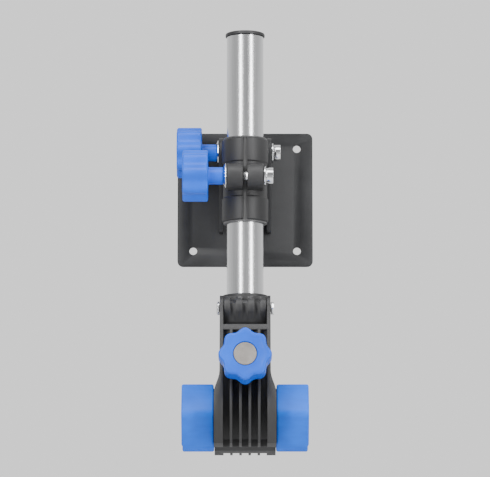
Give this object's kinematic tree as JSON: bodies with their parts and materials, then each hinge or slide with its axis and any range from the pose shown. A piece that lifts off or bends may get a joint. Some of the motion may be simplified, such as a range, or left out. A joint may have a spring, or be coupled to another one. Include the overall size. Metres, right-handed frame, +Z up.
{
  "type": "bicycle wall rack",
  "caption": "Wall-mounted bicycle holder: a tilting split collar carries a sliding tube with a rubber-padded screw clamp for a bicycle's frame tube.",
  "frame": {"origin": "centre of the wall plate's back face", "axes": "+X to the viewer's right, +Y into the wall, +Z up along the tube; the rack stands out from the wall along -Y"},
  "size_m": [0.1202, 0.1642, 0.3669],
  "materials": {
    "painted_steel": "satin black powder coat",
    "black_plastic": "fine matt",
    "blue_plastic": "satin",
    "grey_plastic": "matt",
    "blue_rubber": "smooth matt",
    "aluminium": "satin polished",
    "chrome": "bright plated",
    "brass": "machined",
    "liner_plastic": "smooth"
  },
  "bodies": {
    "wall_bracket": {"wall_plate": "painted_steel", "ear_left": "painted_steel", "ear_right": "painted_steel", "tilt_bolt": "chrome", "tilt_head_washer": "chrome"},
    "tilt_washer": {"tilt_knob_washer": "chrome"},
    "tilt_knob": {"tilt_knob": "blue_plastic", "tilt_knob_cap": "grey_plastic", "tilt_knob_insert": "brass"},
    "collar": {"collar": "black_plastic", "tube_lock_bolt": "chrome", "tube_lock_head_washer": "chrome"},
    "lock_washer": {"tube_lock_knob_washer": "chrome"},
    "lock_knob": {"tube_lock_knob": "blue_plastic", "tube_lock_knob_cap": "grey_plastic", "tube_lock_knob_insert": "brass"},
    "liner": {"collar_liner": "liner_plastic"},
    "arm": {"tube": "aluminium", "tube_end_cap": "black_plastic", "clamp_head": "black_plastic", "pinch_bolt": "chrome", "pinch_nut": "chrome", "jaw_pivot_bolt": "chrome", "jaw_pivot_nut": "chrome", "rear_pad_left": "blue_rubber", "rear_pad_right": "blue_rubber"},
    "front_jaw": {"front_jaw": "black_plastic", "front_pad_left": "blue_rubber", "front_pad_right": "blue_rubber"},
    "rod": {"clamp_rod": "chrome", "rod_barrel_pin": "chrome", "spring_seat_washer": "chrome", "jaw_spring": "chrome"},
    "clamp_washer": {"clamp_knob_washer": "chrome"},
    "clamp_knob": {"clamp_knob": "blue_plastic", "clamp_knob_cap": "grey_plastic", "clamp_knob_insert": "brass"}
  },
  "joints": [
    {"name": "arm_tilt", "type": "hinge", "parent": "wall_bracket", "child": "collar", "pos_m": [0, -0.03, 0.0375], "axis": [-1, 0, 0], "range_deg": [0, 90]},
    {"name": "liner_turn", "type": "hinge", "parent": "collar", "child": "liner", "pos_m": [0, -0.069, 0], "axis": [0, 0, 1], "continuous": true},
    {"name": "tube_slide", "type": "slide", "parent": "liner", "child": "arm", "axis": [0, 0, 1], "range_m": [-0.085, 0.06]},
    {"name": "jaw_close", "type": "hinge", "parent": "arm", "child": "front_jaw", "pos_m": [0, -0.093, -0.1096], "axis": [1, 0, 0], "range_deg": [-8.2, 12.2], "deforming": ["jaw_spring"]},
    {"name": "rod_tilt", "type": "hinge", "parent": "arm", "child": "rod", "pos_m": [0, -0.057, -0.1666], "axis": [1, 0, 0], "range_deg": [-2.2, 3]},
    {"name": "clamp_washer_slide", "type": "slide", "parent": "rod", "child": "clamp_washer", "axis": [0, -0.9959, 0.0906], "range_m": [-0.0112, 0.0074]},
    {"name": "clamp_knob_turn", "type": "hinge", "parent": "clamp_washer", "child": "clamp_knob", "pos_m": [0, -0.057, -0.1666], "axis": [0, -0.9959, 0.0906], "range_deg": [-3230, 2140]},
    {"name": "tilt_washer_slide", "type": "slide", "parent": "wall_bracket", "child": "tilt_washer", "axis": [-1, 0, 0], "range_m": [0, 0.00249]},
    {"name": "tilt_knob_turn", "type": "hinge", "parent": "tilt_washer", "child": "tilt_knob", "pos_m": [0, -0.03, 0.0375], "axis": [-1, 0, 0], "range_deg": [0, 720]},
    {"name": "lock_washer_slide", "type": "slide", "parent": "collar", "child": "lock_washer", "axis": [-1, 0, 0], "range_m": [0, 0.00249]},
    {"name": "lock_knob_turn", "type": "hinge", "parent": "lock_washer", "child": "lock_knob", "pos_m": [0, -0.096, 0.0053], "axis": [-1, 0, 0], "range_deg": [0, 720]}
  ],
  "couplings": [
    {"joint": "clamp_knob_turn", "follows": "clamp_washer_slide", "rad_per_m": 5026.5},
    {"joint": "jaw_close", "follows": "clamp_washer_slide", "rad_per_m": -18.657},
    {"joint": "rod_tilt", "follows": "clamp_washer_slide", "rad_per_m": -4.1045},
    {"joint": "tilt_knob_turn", "follows": "tilt_washer_slide", "rad_per_m": 5026.5},
    {"joint": "lock_knob_turn", "follows": "lock_washer_slide", "rad_per_m": 5026.5}
  ]
}
